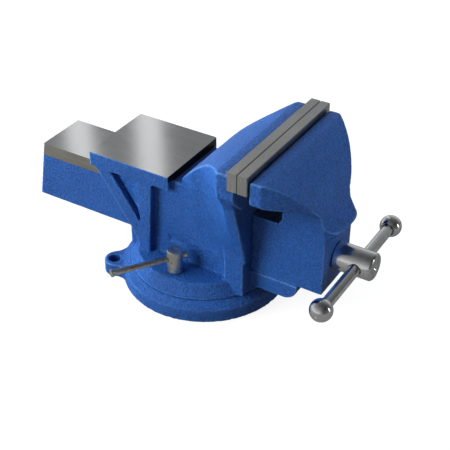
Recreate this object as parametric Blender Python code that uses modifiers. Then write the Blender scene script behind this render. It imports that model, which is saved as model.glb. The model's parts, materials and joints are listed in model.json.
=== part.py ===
"""Bench vise with a swivel base, a small anvil and a sliding front jaw.

Frame: +X points to the handle end, +Z is up, the origin is on the swivel axis at the
underside of the base. One object per piece, in metres. A piece that moves has its origin
on the axis it moves about or along.
"""

import math

import bmesh
import bpy
from mathutils import Matrix, Vector

MM = 0.001
GAP = 0.3 * MM                       # clearance between neighbouring pieces

# Base
BASE_RADIUS = 54.3 * MM
BASE_RIM_HEIGHT = 8.4 * MM
BASE_TOP = 13.0 * MM
BASE_SEAT_RADIUS = 49.0 * MM
LUG_ANGLES = (math.radians(211.2), math.radians(31.2))
LUG_HOLE_RADIUS = 4.0 * MM
LUG_HOLE_CIRCLE = 59.8 * MM
LUG_END_CIRCLE = 58.8 * MM
LUG_END_RADIUS = 8.0 * MM
LUG_HEIGHT = 9.3 * MM
SLOT_CIRCLE = 35.6 * MM              # circle of the lock bolts and of the T-slot
SLOT_HALF = 6.0 * MM
SLOT_UNDERCUT_HALF = 9.0 * MM
SLOT_FLOOR = 4.2 * MM
SLOT_LIP = 8.8 * MM
PIVOT_RADIUS = 11.0 * MM
PIVOT_FLOOR = 3.0 * MM

# Slide (the long hollow bar of the movable jaw) and its guide in the body
SLIDE_HALF_WIDTH = 18.4 * MM
SLIDE_BOTTOM = 29.5 * MM
SLIDE_TOP = 70.8 * MM
SLIDE_REAR_TOP = -114.1 * MM
SLIDE_REAR_BOTTOM = -121.7 * MM
SLIDE_CHANNEL_HALF = 11.5 * MM
SLIDE_CHANNEL_TOP = 60.5 * MM
GUIDE_CLEARANCE = 0.5 * MM
JAW_FRONT = 93.1 * MM                # front face of the slide below the shield
FRONT_WALL = 11.4 * MM

# Body and anvil
BODY_HALF_WIDTH = 28.4 * MM
ANVIL_REAR = -68.2 * MM
ANVIL_FRONT = -8.4 * MM
ANVIL_TOP = 84.3 * MM
FOOT_RADIUS = 49.0 * MM
FOOT_TOP_RADIUS = 45.0 * MM
FOOT_TOP = 22.6 * MM
PEDESTAL_RADIUS = 48.3 * MM
PEDESTAL_HALF_WIDTH = 23.0 * MM
PANEL_REAR = (-22.3 * MM, 22.4 * MM)      # plan ends of the recessed panel of each wall
PANEL_FRONT = (31.0 * MM, 27.0 * MM)
PANEL_TOP = 74.4 * MM
PANEL_REAR_TOP = -21.2 * MM               # its rear end leans backwards on the way down
PANEL_REAR_FOOT = -24.8 * MM

# Jaws and plates
JAW_TOP = 114.6 * MM
JAW_HALF_LENGTH = 48.3 * MM
WING_BOTTOM = 97.5 * MM
PLATE_HALF_LENGTH = 50.1 * MM
PLATE_BOTTOM = 106.1 * MM
PLATE_TOP = 118.0 * MM
PLATE_THICKNESS = 6.7 * MM
JAW_LINE = 52.5 * MM                 # plane where the closed plates meet
HEAD_REAR = -1.3 * MM                # where the fixed jaw rises from the neck
FLARE_START = 5.0 * MM               # its wings spread between these two places
FLARE_END = 38.0 * MM
FLARE_BOTTOM = 42.0 * MM
FLARE_KNEE = 84.4 * MM               # the spread grows steeper above this height
KNEE_SHARE = 0.6
PLATE_SCREW_Y = 30.0 * MM
PLATE_SCREW_Z = 110.6 * MM

# Spindle
SPINDLE_Z = 48.7 * MM
THREAD_RADIUS = 7.7 * MM
HEAD_RADIUS = 8.8 * MM
HEAD_START = 93.5 * MM
HEAD_END = 118.3 * MM
SCREW_REAR = -104.0 * MM
HANDLE_X = 108.6 * MM
HANDLE_RADIUS = 3.6 * MM
BALL_RADIUS = 6.9 * MM
BALL_NEAR_Y = -50.5 * MM
BALL_FAR_Y = 43.3 * MM

# Swivel locks
LOCK_HEAD_RADIUS = 5.1 * MM
LOCK_SHANK_RADIUS = 3.0 * MM
LOCK_HEAD_TOP = 39.0 * MM
LOCK_BAR_Z = 32.8 * MM
LOCK_BAR_RADIUS = 1.9 * MM
LOCK_BAR_OUT = 42.0 * MM
LOCK_BAR_IN = 8.4 * MM
LOCK_BAR_HEADING = math.radians(234.6)


# ---------------------------------------------------------------- scene and materials

def clear_scene():
    for obj in list(bpy.data.objects):
        bpy.data.objects.remove(obj, do_unlink=True)


def make_collection(name):
    collection = bpy.data.collections.new(name)
    bpy.context.scene.collection.children.link(collection)
    return collection


def make_material(name, colour, metallic, roughness):
    material = bpy.data.materials.new(name)
    material.use_nodes = True
    shader = material.node_tree.nodes["Principled BSDF"]
    shader.inputs["Base Color"].default_value = (*colour, 1.0)
    shader.inputs["Metallic"].default_value = metallic
    shader.inputs["Roughness"].default_value = roughness
    return material


clear_scene()
PARTS = make_collection("bench_vise")
TOOLS = make_collection("cutters_and_guides")

BLUE_PAINT = make_material("blue_paint", (0.045, 0.115, 0.33), 0.0, 0.38)
GROUND_STEEL = make_material("ground_steel", (0.42, 0.41, 0.39), 1.0, 0.35)
BRIGHT_STEEL = make_material("bright_steel", (0.70, 0.70, 0.69), 1.0, 0.18)
ZINC_STEEL = make_material("zinc_steel", (0.60, 0.56, 0.46), 1.0, 0.28)
DARK_STEEL = make_material("dark_steel", (0.10, 0.10, 0.11), 1.0, 0.45)
CAST_IRON = make_material("bare_cast_iron", (0.20, 0.20, 0.20), 0.8, 0.55)


# ---------------------------------------------------------------- shape helpers

def link_mesh(name, mesh, collection):
    obj = bpy.data.objects.new(name, mesh)
    collection.objects.link(obj)
    return obj


def object_from_bmesh(name, bm, collection=None):
    bmesh.ops.recalc_face_normals(bm, faces=bm.faces)
    mesh = bpy.data.meshes.new(name)
    bm.to_mesh(mesh)
    bm.free()
    return link_mesh(name, mesh, collection or TOOLS)


def box(name, low, high, collection=None):
    """A block between two opposite corners."""
    bm = bmesh.new()
    bmesh.ops.create_cube(bm, size=1.0)
    size = Vector(high) - Vector(low)
    bmesh.ops.scale(bm, vec=size, verts=bm.verts)
    bmesh.ops.translate(bm, vec=(Vector(high) + Vector(low)) / 2, verts=bm.verts)
    return object_from_bmesh(name, bm, collection)


def cone(name, start, end, start_radius, end_radius, segments=24, collection=None):
    """A cylinder or cone whose axis runs from start to end."""
    start = Vector(start)
    end = Vector(end)
    direction = end - start
    bm = bmesh.new()
    bmesh.ops.create_cone(bm, cap_ends=True, segments=segments, radius1=start_radius,
                          radius2=end_radius, depth=direction.length)
    turn = direction.to_track_quat("Z", "Y").to_matrix().to_4x4()
    place = Matrix.Translation((start + end) / 2) @ turn
    bmesh.ops.transform(bm, matrix=place, verts=bm.verts)
    return object_from_bmesh(name, bm, collection)


def rod(name, start, end, radius, segments=24, collection=None):
    return cone(name, start, end, radius, radius, segments, collection)


AXES = {
    "X": Matrix(((0, 0, 1), (1, 0, 0), (0, 1, 0))).to_4x4(),
    "Y": Matrix(((1, 0, 0), (0, 0, -1), (0, 1, 0))).to_4x4(),
    "Z": Matrix.Identity(4),
}


def prism(name, outline, axis, low, high, collection=None):
    """A flat outline with thickness: (y, z) along X, (x, z) along Y or (x, y) along Z."""
    curve = bpy.data.curves.new(name, "CURVE")
    curve.dimensions = "2D"
    curve.fill_mode = "BOTH"
    curve.extrude = (high - low) / 2
    spline = curve.splines.new("POLY")
    spline.points.add(len(outline) - 1)
    for point, (a, b) in zip(spline.points, outline):
        point.co = (a, b, 0.0, 1.0)
    spline.use_cyclic_u = True
    spline.use_smooth = False
    guide = bpy.data.objects.new(name + "_outline", curve)
    TOOLS.objects.link(guide)
    mesh = bpy.data.meshes.new_from_object(guide.evaluated_get(bpy.context.evaluated_depsgraph_get()))
    bpy.data.objects.remove(guide, do_unlink=True)
    middle = (low + high) / 2
    shift = {"X": (middle, 0, 0), "Y": (0, middle, 0), "Z": (0, 0, middle)}[axis]
    bm = bmesh.new()
    bm.from_mesh(mesh)
    bpy.data.meshes.remove(mesh)
    bmesh.ops.remove_doubles(bm, verts=bm.verts, dist=0.00001)
    bmesh.ops.transform(bm, matrix=Matrix.Translation(shift) @ AXES[axis], verts=bm.verts)
    return object_from_bmesh(name, bm, collection)


def turned(name, profile, steps, collection=None):
    """A turned shape about local Z: profile is (radius, height), outer side top to bottom."""
    mesh = bpy.data.meshes.new(name)
    points = [(radius, 0.0, height) for radius, height in profile]
    edges = [(i, i + 1) for i in range(len(points) - 1)]
    mesh.from_pydata(points, edges, [])
    obj = link_mesh(name, mesh, collection or TOOLS)
    screw = obj.modifiers.new("turn", "SCREW")
    screw.axis = "Z"
    screw.steps = steps
    screw.render_steps = steps
    screw.use_merge_vertices = True
    screw.merge_threshold = 0.00001
    screw.use_smooth_shade = False
    return obj


def loft(name, rings, collection=None):
    """A closed body through rings of equally many points: up one side, down the other."""
    bm = bmesh.new()
    rows = [[bm.verts.new(point) for point in ring] for ring in rings]
    count = len(rings[0])
    for row, following in zip(rows, rows[1:]):
        for i in range(count):
            j = (i + 1) % count
            bm.faces.new((row[i], row[j], following[j], following[i]))
    for row in (rows[0], rows[-1]):
        for i in range(count // 2 - 1):
            bm.faces.new((row[i], row[i + 1], row[count - 2 - i], row[count - 1 - i]))
    bmesh.ops.triangulate(bm, faces=bm.faces)
    return object_from_bmesh(name, bm, collection)


def boolean(obj, tool, operation):
    modifier = obj.modifiers.new(operation.lower() + "_" + tool.name, "BOOLEAN")
    modifier.solver = "EXACT"
    modifier.operation = operation
    modifier.object = tool
    tool.hide_render = True
    tool.display_type = "WIRE"


def join(obj, *tools):
    for tool in tools:
        boolean(obj, tool, "UNION")


def cut(obj, *tools):
    for tool in tools:
        boolean(obj, tool, "DIFFERENCE")


def keep_common(obj, *tools):
    for tool in tools:
        boolean(obj, tool, "INTERSECT")


def finish(obj, material, smooth=True):
    """Moves a shape into the part's collection and gives it its material and shading."""
    TOOLS.objects.unlink(obj)
    PARTS.objects.link(obj)
    obj.data.materials.append(material)
    if smooth:
        obj.data.shade_smooth()
        obj.data.set_sharp_from_angle(angle=math.radians(35.0))
    return obj


def arc(centre, radius, start, end, count):
    """Points on an arc; the angles are in degrees."""
    points = []
    for i in range(count + 1):
        angle = math.radians(start + (end - start) * i / count)
        points.append((centre[0] + radius * math.cos(angle), centre[1] + radius * math.sin(angle)))
    return points


def bezier(controls, count):
    """Points on the curve from the first to the last of its control points."""
    points = []
    for i in range(count + 1):
        row = [Vector(control) for control in controls]
        while len(row) > 1:
            row = [a.lerp(b, i / count) for a, b in zip(row, row[1:])]
        points.append(tuple(row[0]))
    return points


def mirrored(outline):
    """A full outline from its right half, which runs from top to bottom."""
    return outline + [(-a, b) for a, b in reversed(outline)]


def metres(points):
    return [(a * MM, b * MM) for a, b in points]


# ---------------------------------------------------------------- swivel base

def make_base():
    base = turned("swivel_base", [
        (0.0, PIVOT_FLOOR),
        (PIVOT_RADIUS + GAP, PIVOT_FLOOR),
        (PIVOT_RADIUS + GAP, BASE_TOP),
        (SLOT_CIRCLE - SLOT_HALF, BASE_TOP),
        (SLOT_CIRCLE - SLOT_HALF, SLOT_LIP),
        (SLOT_CIRCLE - SLOT_UNDERCUT_HALF, SLOT_LIP),
        (SLOT_CIRCLE - SLOT_UNDERCUT_HALF, SLOT_FLOOR),
        (SLOT_CIRCLE + SLOT_UNDERCUT_HALF, SLOT_FLOOR),
        (SLOT_CIRCLE + SLOT_UNDERCUT_HALF, SLOT_LIP),
        (SLOT_CIRCLE + SLOT_HALF, SLOT_LIP),
        (SLOT_CIRCLE + SLOT_HALF, BASE_TOP),
        (BASE_SEAT_RADIUS, BASE_TOP),
        (BASE_RADIUS - 1.9 * MM, BASE_RIM_HEIGHT + 2.0 * MM),
        (BASE_RADIUS - 0.5 * MM, BASE_RIM_HEIGHT + 1.2 * MM),
        (BASE_RADIUS, BASE_RIM_HEIGHT),
        (BASE_RADIUS, 0.0),
        (0.0, 0.0),
    ], 64)
    for number, angle in enumerate(LUG_ANGLES):
        side = metres([(46.3, 18.5), (50.9, 15.6), (52.7, 12.4), (54.9, 10.2), (57.4, 8.6)])
        tip = arc((LUG_END_CIRCLE, 0.0), LUG_END_RADIUS, 78.0, -78.0, 10)
        outline = side + tip + [(x, -y) for x, y in reversed(side)]
        turn = Matrix.Rotation(angle, 2)
        turned_outline = [tuple(turn @ Vector(point)) for point in outline]
        lug = prism("lug_%d" % number, turned_outline, "Z", 0.0, LUG_HEIGHT)
        join(base, lug)
    for number, angle in enumerate(LUG_ANGLES):
        x = LUG_HOLE_CIRCLE * math.cos(angle)
        y = LUG_HOLE_CIRCLE * math.sin(angle)
        hole = rod("lug_hole_%d" % number, (x, y, -2 * MM), (x, y, LUG_HEIGHT + 5 * MM),
                   LUG_HOLE_RADIUS, 24)
        cut(base, hole)
    return finish(base, BLUE_PAINT)


# ---------------------------------------------------------------- vise body

REAR_CURVE = bezier([(HEAD_REAR, 83.6 * MM), (13.0 * MM, 102.8 * MM), (37.6 * MM, JAW_TOP)], 12)


def jaw_top_height(x):
    """Height of the fixed jaw's rounded back at a place along X."""
    for (x0, z0), (x1, z1) in zip(REAR_CURVE, REAR_CURVE[1:]):
        if x <= x1:
            return z0 + (z1 - z0) * (x - x0) / (x1 - x0)
    return JAW_TOP


def panel_depth(x):
    """Half width of the body over its recessed panels, which slant outwards to the front."""
    (x0, y0), (x1, y1) = PANEL_REAR, PANEL_FRONT
    return y0 + (y1 - y0) * (x - x0) / (x1 - x0)


def clamped(share):
    return min(max(share, 0.0), 1.0)


def head_half_width(x, z):
    """Half width of the fixed jaw: level with the panels low down, then out into the wings."""
    low = panel_depth(x) - 0.6 * MM
    neck = low + (BODY_HALF_WIDTH - low) * clamped((x - HEAD_REAR) / (10.0 * MM))
    wing = (JAW_HALF_LENGTH - neck) * clamped((x - FLARE_START) / (FLARE_END - FLARE_START)) ** 2.2
    knee = neck + wing * KNEE_SHARE
    if z < FLARE_KNEE:
        return low + (knee - low) * clamped((z - FLARE_BOTTOM) / (FLARE_KNEE - FLARE_BOTTOM))
    rise = clamped((z - FLARE_KNEE) / (WING_BOTTOM - FLARE_KNEE))
    return knee + wing * (1.0 - KNEE_SHARE) * rise ** 1.5


def fixed_head():
    """The fixed jaw: from the neck it spreads forwards and upwards into two wings."""
    front = JAW_LINE - GAP / 2 - PLATE_THICKNESS + 0.35 * MM - GAP
    stations = [HEAD_REAR, 2.0 * MM, 5.0 * MM] + [x * MM for x in range(9, 38, 4)]
    stations += [37.9 * MM, 38.3 * MM, front]
    levels = 14
    bottom = 40.0 * MM
    rings = []
    for x in stations:
        top = jaw_top_height(x)
        heights = [bottom + (top - bottom) * i / levels for i in range(levels + 1)]
        near = [(x, -head_half_width(x, z), z) for z in heights]
        far = [(x, head_half_width(x, z), z) for z in reversed(heights)]
        rings.append(near + far)
    return loft("fixed_head", rings)


def body_outline():
    """Side view of the walls and the anvil."""
    return metres([
        (-68.2, 84.3), (-8.4, 84.3), (-8.4, 80.0), (44.6, 80.0), (44.6, 14.5), (-33.8, 14.5),
        (-33.6, 28.1), (-37.6, 36.2), (-60.2, 69.0), (-62.5, 72.6), (-66.0, 74.6), (-68.2, 74.9),
    ])


def tongue_outline():
    """Side view of the tongue that carries the slide in front of the foot."""
    top = SLIDE_BOTTOM + 2.0 * MM
    nose = arc((67.0 * MM, 27.0 * MM), 9.6 * MM, 0.0, -90.0, 8)
    return [(20.0 * MM, top), (76.6 * MM, top)] + nose + [(50.0 * MM, 17.4 * MM), (20.0 * MM, 16.0 * MM)]


def pedestal_outline():
    """Plan of the rounded rear of the foot, between the walls."""
    reach = math.degrees(math.asin(PEDESTAL_HALF_WIDTH / PEDESTAL_RADIUS))
    rear = arc((0.0, 0.0), PEDESTAL_RADIUS, 180.0 - reach, 180.0 + reach, 12)
    return rear + [(0.0, -PEDESTAL_HALF_WIDTH), (0.0, PEDESTAL_HALF_WIDTH)]


def side_pockets(side):
    """Cutters of the recessed panels of one wall; side is -1 near and +1 far."""
    outside = 70.0 * MM * side

    def wall(name, start, end, low, high):
        (x0, y0), (x1, y1) = start, end
        plan = [(x0, y0 * side), (x1, y1 * side), (x1, outside), (x0, outside)]
        return prism(name, plan, "Z", low, high)

    def face(name, outline, start, end):
        """A recess with a side-view outline and a floor that slants from start to end."""
        low, high = sorted((20.0 * MM * side, outside))
        recess = prism(name, outline, "Y", low, high)
        keep_common(recess, wall(name + "_floor", start, end, 0.0, 90.0 * MM))
        return recess

    tag = "near" if side < 0 else "far"
    bottom = FOOT_TOP - 3.0 * MM
    front = PANEL_FRONT[0]
    panel = face("panel_" + tag, [
        (PANEL_REAR_FOOT, bottom), (PANEL_REAR_TOP, PANEL_TOP), (ANVIL_FRONT, PANEL_TOP),
        (ANVIL_FRONT, ANVIL_TOP), (front, ANVIL_TOP), (front, bottom),
    ], (-30.0 * MM, panel_depth(-30.0 * MM)), (front + 1.0 * MM, panel_depth(front + 1.0 * MM)))
    bolt_bay = wall("bolt_bay_" + tag, (-13.0 * MM, 22.0 * MM), (front, 24.4 * MM), bottom, 38.2 * MM)
    corner = face("corner_" + tag, metres([(-52.6, 74.0), (-30.6, 74.0), (-30.6, 44.8), (-32.4, 44.8)]),
                  (-56.0 * MM, 21.8 * MM), (-30.0 * MM, 28.2 * MM))
    return panel, bolt_bay, corner


def ledge_outline():
    """Front view of the ledge that carries the fixed jaw plate."""
    return mirrored(metres([(48.0, 105.8), (48.0, 98.2), (45.6, 94.4), (38.0, 87.0)]))


def make_body():
    body = prism("vise_body", body_outline(), "Y", -BODY_HALF_WIDTH, BODY_HALF_WIDTH)
    foot = turned("foot", [
        (0.0, FOOT_TOP),
        (FOOT_TOP_RADIUS - 1.0 * MM, FOOT_TOP),
        (FOOT_TOP_RADIUS, FOOT_TOP - 0.7 * MM),
        (FOOT_RADIUS, BASE_TOP + 1.2 * MM),
        (FOOT_RADIUS, BASE_TOP + GAP),
        (0.0, BASE_TOP + GAP),
    ], 64)
    pedestal = prism("pedestal", pedestal_outline(), "Z", 16.0 * MM, 33.0 * MM)
    tongue = prism("tongue", tongue_outline(), "Y", -SLIDE_HALF_WIDTH, SLIDE_HALF_WIDTH)
    ledge = prism("ledge", ledge_outline(), "X", 40.0 * MM, 49.2 * MM)
    spigot = rod("spigot", (0, 0, PIVOT_FLOOR + 1.2 * MM), (0, 0, 18 * MM), PIVOT_RADIUS, 32)
    for side in (-1, 1):
        cut(body, *side_pockets(side))
    join(body, fixed_head(), ledge, foot, pedestal, tongue, spigot)

    inside = SLIDE_HALF_WIDTH + GUIDE_CLEARANCE
    guide = box("guide", (-90 * MM, -inside, SLIDE_BOTTOM - GUIDE_CLEARANCE),
                (90 * MM, inside, SLIDE_TOP + GUIDE_CLEARANCE))
    cut(body, guide)
    for side in (-1, 1):
        lock_hole = rod("lock_hole_%d" % side, (0, side * SLOT_CIRCLE, 0), (0, side * SLOT_CIRCLE, 40 * MM),
                        LOCK_SHANK_RADIUS + GAP, 24)
        cut(body, lock_hole)
        screw_hole = rod("fixed_screw_hole_%d" % side, (39 * MM, side * PLATE_SCREW_Y, PLATE_SCREW_Z),
                         (55 * MM, side * PLATE_SCREW_Y, PLATE_SCREW_Z), 2.6 * MM, 16)
        cut(body, screw_hole)
    cut(body, rod("nut_bolt_bore", (0, 0, 0), (0, 0, 40 * MM), 4.3 * MM, 24))
    cut(body, rod("nut_bolt_recess", (0, 0, -1 * MM), (0, 0, 15.5 * MM), 8.6 * MM, 24))
    return finish(body, BLUE_PAINT, smooth=False)


# ---------------------------------------------------------------- movable jaw

def head_side_outline():
    """Side view of the movable jaw's head: hollowed below the wings, with a shield and a lip."""
    rear = (JAW_LINE + GAP / 2 + PLATE_THICKNESS - 0.35 * MM + GAP) / MM
    top = JAW_TOP / MM
    shield = bezier([(68.2, top - 0.3), (81.4, 107.5), (88.4, 93.5), (91.6, 79.0)], 10)
    lower_recess = bezier([(rear + 1.6, 69.8), (64.6, 70.6), (64.6, 76.0)], 4)
    upper_recess = bezier([(64.6, 88.6), (64.6, 94.6), (rear, 97.0)], 4)
    return metres([(rear + 1.6, 64.0)] + lower_recess + upper_recess + [
        (rear, top - 1.2), (rear + 1.2, top), (65.8, top)] + shield + [
        (92.9, 76.6), (95.4, 74.9), (98.2, 74.0), (99.5, 72.8), (99.6, 71.4), (98.6, 70.2), (93.1, 68.4),
        (88.0, 64.0),
    ])


def head_plan_outline():
    """Plan of the head: straight wing ends, then flanks that slant in to the lip."""
    half = JAW_HALF_LENGTH / MM
    flank = bezier([(66.4, half), (77.6, 40.2), (85.6, 30.2), (90.4, 19.4)], 6)
    right = [(55.0, half)] + flank + [(94.4, 17.0), (98.2, 13.4), (99.5, 7.6), (100.0, 0.0)]
    return metres(right + [(x, -y) for x, y in reversed(right[:-1])])


def head_front_outline():
    """Front view of the head: wings above, narrowing to the slide."""
    half = JAW_HALF_LENGTH / MM
    return mirrored(metres([
        (half, 118.0), (half, 100.4), (half - 1.8, 98.6), (30.0, 93.0), (23.0, 89.0), (19.6, 85.4),
        (18.4, 81.0), (18.4, 71.2), (18.0, 70.4), (18.0, 60.0),
    ]))


def make_movable_jaw():
    jaw = prism("movable_jaw", [
        (SLIDE_REAR_TOP, SLIDE_TOP), (JAW_FRONT, SLIDE_TOP), (JAW_FRONT, SLIDE_BOTTOM),
        (SLIDE_REAR_BOTTOM, SLIDE_BOTTOM),
    ], "Y", -SLIDE_HALF_WIDTH, SLIDE_HALF_WIDTH)
    head = prism("movable_head", head_side_outline(), "Y", -60 * MM, 60 * MM)
    plan = prism("head_plan", head_plan_outline(), "Z", 50 * MM, 130 * MM)
    front = prism("head_front", head_front_outline(), "X", 40 * MM, 120 * MM)
    keep_common(head, plan, front)
    join(jaw, head)
    channel = box("slide_channel", (-150 * MM, -SLIDE_CHANNEL_HALF, 0),
                  (JAW_FRONT - FRONT_WALL, SLIDE_CHANNEL_HALF, SLIDE_CHANNEL_TOP))
    bore = rod("spindle_bore", (60 * MM, 0, SPINDLE_Z), (130 * MM, 0, SPINDLE_Z), THREAD_RADIUS + GAP, 32)
    cut(jaw, channel, bore)
    for side in (-1, 1):
        cut(jaw, rod("movable_screw_hole_%d" % side, (50 * MM, side * PLATE_SCREW_Y, PLATE_SCREW_Z),
                     (66 * MM, side * PLATE_SCREW_Y, PLATE_SCREW_Z), 2.6 * MM, 16))
    return finish(jaw, BLUE_PAINT, smooth=False)


# ---------------------------------------------------------------- jaw plates and screws

def make_plate(name, facing):
    """One jaw plate; facing is +1 on the fixed jaw and -1 on the movable one."""
    face = JAW_LINE - facing * GAP / 2
    back = face - facing * (PLATE_THICKNESS - 0.35 * MM)
    plate = box(name, (min(face, back), -PLATE_HALF_LENGTH, PLATE_BOTTOM),
                (max(face, back), PLATE_HALF_LENGTH, PLATE_TOP))
    for side in (-1, 1):
        y = side * PLATE_SCREW_Y
        shank = rod("%s_hole_%d" % (name, side), (face - 12 * MM, y, PLATE_SCREW_Z),
                    (face + 12 * MM, y, PLATE_SCREW_Z), 2.7 * MM, 24)
        sink = cone("%s_sink_%d" % (name, side), (face + facing * 0.2 * MM, y, PLATE_SCREW_Z),
                    (face - facing * 2.9 * MM, y, PLATE_SCREW_Z), 5.3 * MM, 2.2 * MM, 24)
        cut(plate, shank, sink)
    return finish(plate, GROUND_STEEL, smooth=False)


def make_plate_screw(name, facing, side):
    """A countersunk screw with a slot, its head just under the plate's face."""
    face = JAW_LINE - facing * GAP / 2
    head = face - facing * 0.4 * MM
    screw = turned(name, [(0.0, 0.0), (4.6 * MM, 0.0), (2.3 * MM, -2.4 * MM), (2.3 * MM, -11.4 * MM),
                          (1.5 * MM, -12.2 * MM), (0.0, -12.2 * MM)], 24)
    slot = box(name + "_slot", (-6 * MM, -0.6 * MM, -1.1 * MM), (6 * MM, 0.6 * MM, 2 * MM))
    place = Matrix.Translation((head, side * PLATE_SCREW_Y, PLATE_SCREW_Z)) @ \
        Matrix.Rotation(facing * math.pi / 2, 4, "Y")
    slot.matrix_world = place
    screw.matrix_world = place
    cut(screw, slot)
    return finish(screw, DARK_STEEL)


# ---------------------------------------------------------------- spindle group

def lay_along_x(obj, x):
    """Turns a piece made about Z so that its local +Z runs along +X from a place on the spindle."""
    obj.matrix_world = Matrix.Translation((x, 0, SPINDLE_Z)) @ Matrix.Rotation(math.pi / 2, 4, "Y")


def make_lead_screw():
    reach = HEAD_END
    screw = turned("lead_screw", [
        (0.0, reach),
        (HEAD_RADIUS - 1.0 * MM, reach),
        (HEAD_RADIUS, reach - 1.0 * MM),
        (HEAD_RADIUS, HEAD_START + 0.6 * MM),
        (HEAD_RADIUS - 0.6 * MM, HEAD_START),
        (THREAD_RADIUS, HEAD_START),
        (THREAD_RADIUS, SCREW_REAR + 1.5 * MM),
        (THREAD_RADIUS - 1.5 * MM, SCREW_REAR),
        (0.0, SCREW_REAR),
    ], 32)
    lay_along_x(screw, 0.0)
    cross = rod("handle_hole", (HANDLE_X, -20 * MM, SPINDLE_Z), (HANDLE_X, 20 * MM, SPINDLE_Z),
                HANDLE_RADIUS + GAP, 24)
    pin_hole = rod("pin_hole_in_screw", (75 * MM, 0, SPINDLE_Z - 20 * MM), (75 * MM, 0, SPINDLE_Z + 20 * MM),
                   1.8 * MM, 16)
    cut(screw, cross, pin_hole)
    return finish(screw, BRIGHT_STEEL)


def make_washer(name, inner, outer, low, high, material, steps=32):
    """A ring about local Z between two heights."""
    ring = turned(name, [(inner, low), (inner, high), (outer, high), (outer, low), (inner, low)], steps)
    return finish(ring, material)


def make_retainers():
    wall = JAW_FRONT - FRONT_WALL
    washer = make_washer("thrust_washer", THREAD_RADIUS + GAP, 10.4 * MM, wall - 1.8 * MM, wall - GAP,
                         DARK_STEEL)
    lay_along_x(washer, 0.0)
    collar = make_washer("retaining_collar", THREAD_RADIUS + GAP, 10.6 * MM, 70.8 * MM,
                         wall - 1.8 * MM - GAP, DARK_STEEL)
    lay_along_x(collar, 0.0)
    cut(collar, rod("pin_hole_in_collar", (75 * MM, 0, SPINDLE_Z - 20 * MM), (75 * MM, 0, SPINDLE_Z + 20 * MM),
                    1.8 * MM, 16))
    pin = rod("collar_pin", (75 * MM, 0, SPINDLE_Z - 10.3 * MM), (75 * MM, 0, SPINDLE_Z + 10.3 * MM),
              1.5 * MM, 16)
    finish(pin, BRIGHT_STEEL)


def make_lead_nut():
    floor = SLIDE_BOTTOM - GUIDE_CLEARANCE + GAP
    nut = box("lead_nut", (-20 * MM, -10.2 * MM, floor), (18 * MM, 10.2 * MM, SPINDLE_Z))
    join(nut, rod("nut_barrel", (-20 * MM, 0, SPINDLE_Z), (18 * MM, 0, SPINDLE_Z), 10.7 * MM, 32))
    cut(nut, rod("nut_thread", (-40 * MM, 0, SPINDLE_Z), (40 * MM, 0, SPINDLE_Z),
                 THREAD_RADIUS + GAP, 32))
    cut(nut, rod("nut_bolt_thread", (0, 0, 20 * MM), (0, 0, 39.6 * MM), 4.1 * MM, 24))
    finish(nut, CAST_IRON)

    head_top = 15.5 * MM - GAP
    washer = make_washer("nut_bolt_washer", 4.3 * MM, 8.2 * MM, head_top - 1.4 * MM, head_top, BRIGHT_STEEL, 24)
    bolt = rod("nut_bolt", (0, 0, head_top - 7.2 * MM), (0, 0, head_top - 1.4 * MM - GAP), 7.5 * MM, 6)
    join(bolt, rod("nut_bolt_shank", (0, 0, head_top - 4 * MM), (0, 0, 38.8 * MM), 3.8 * MM, 24))
    finish(bolt, DARK_STEEL)
    return nut


def make_handle():
    """The sliding handle: a bar with a ball on each end."""
    bar = rod("handle_bar", (0, BALL_NEAR_Y + 1.5 * MM, 0), (0, BALL_FAR_Y - 1.5 * MM, 0), HANDLE_RADIUS, 24)
    bar.location = (HANDLE_X, 0, SPINDLE_Z)
    finish(bar, BRIGHT_STEEL)
    for name, y, side in (("handle_ball_near", BALL_NEAR_Y, -1), ("handle_ball_far", BALL_FAR_Y, 1)):
        bm = bmesh.new()
        bmesh.ops.create_uvsphere(bm, u_segments=24, v_segments=12, radius=BALL_RADIUS)
        bmesh.ops.rotate(bm, verts=bm.verts, matrix=Matrix.Rotation(math.pi / 2, 3, "X"))
        ball = object_from_bmesh(name, bm)
        ball.location = (HANDLE_X, y, SPINDLE_Z)
        bore = rod(name + "_bore", (HANDLE_X, y - side * 20 * MM, SPINDLE_Z),
                   (HANDLE_X, y - side * (1.5 * MM - GAP), SPINDLE_Z), HANDLE_RADIUS + GAP, 24)
        cut(ball, bore)
        finish(ball, BRIGHT_STEEL)


# ---------------------------------------------------------------- swivel locks

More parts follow.
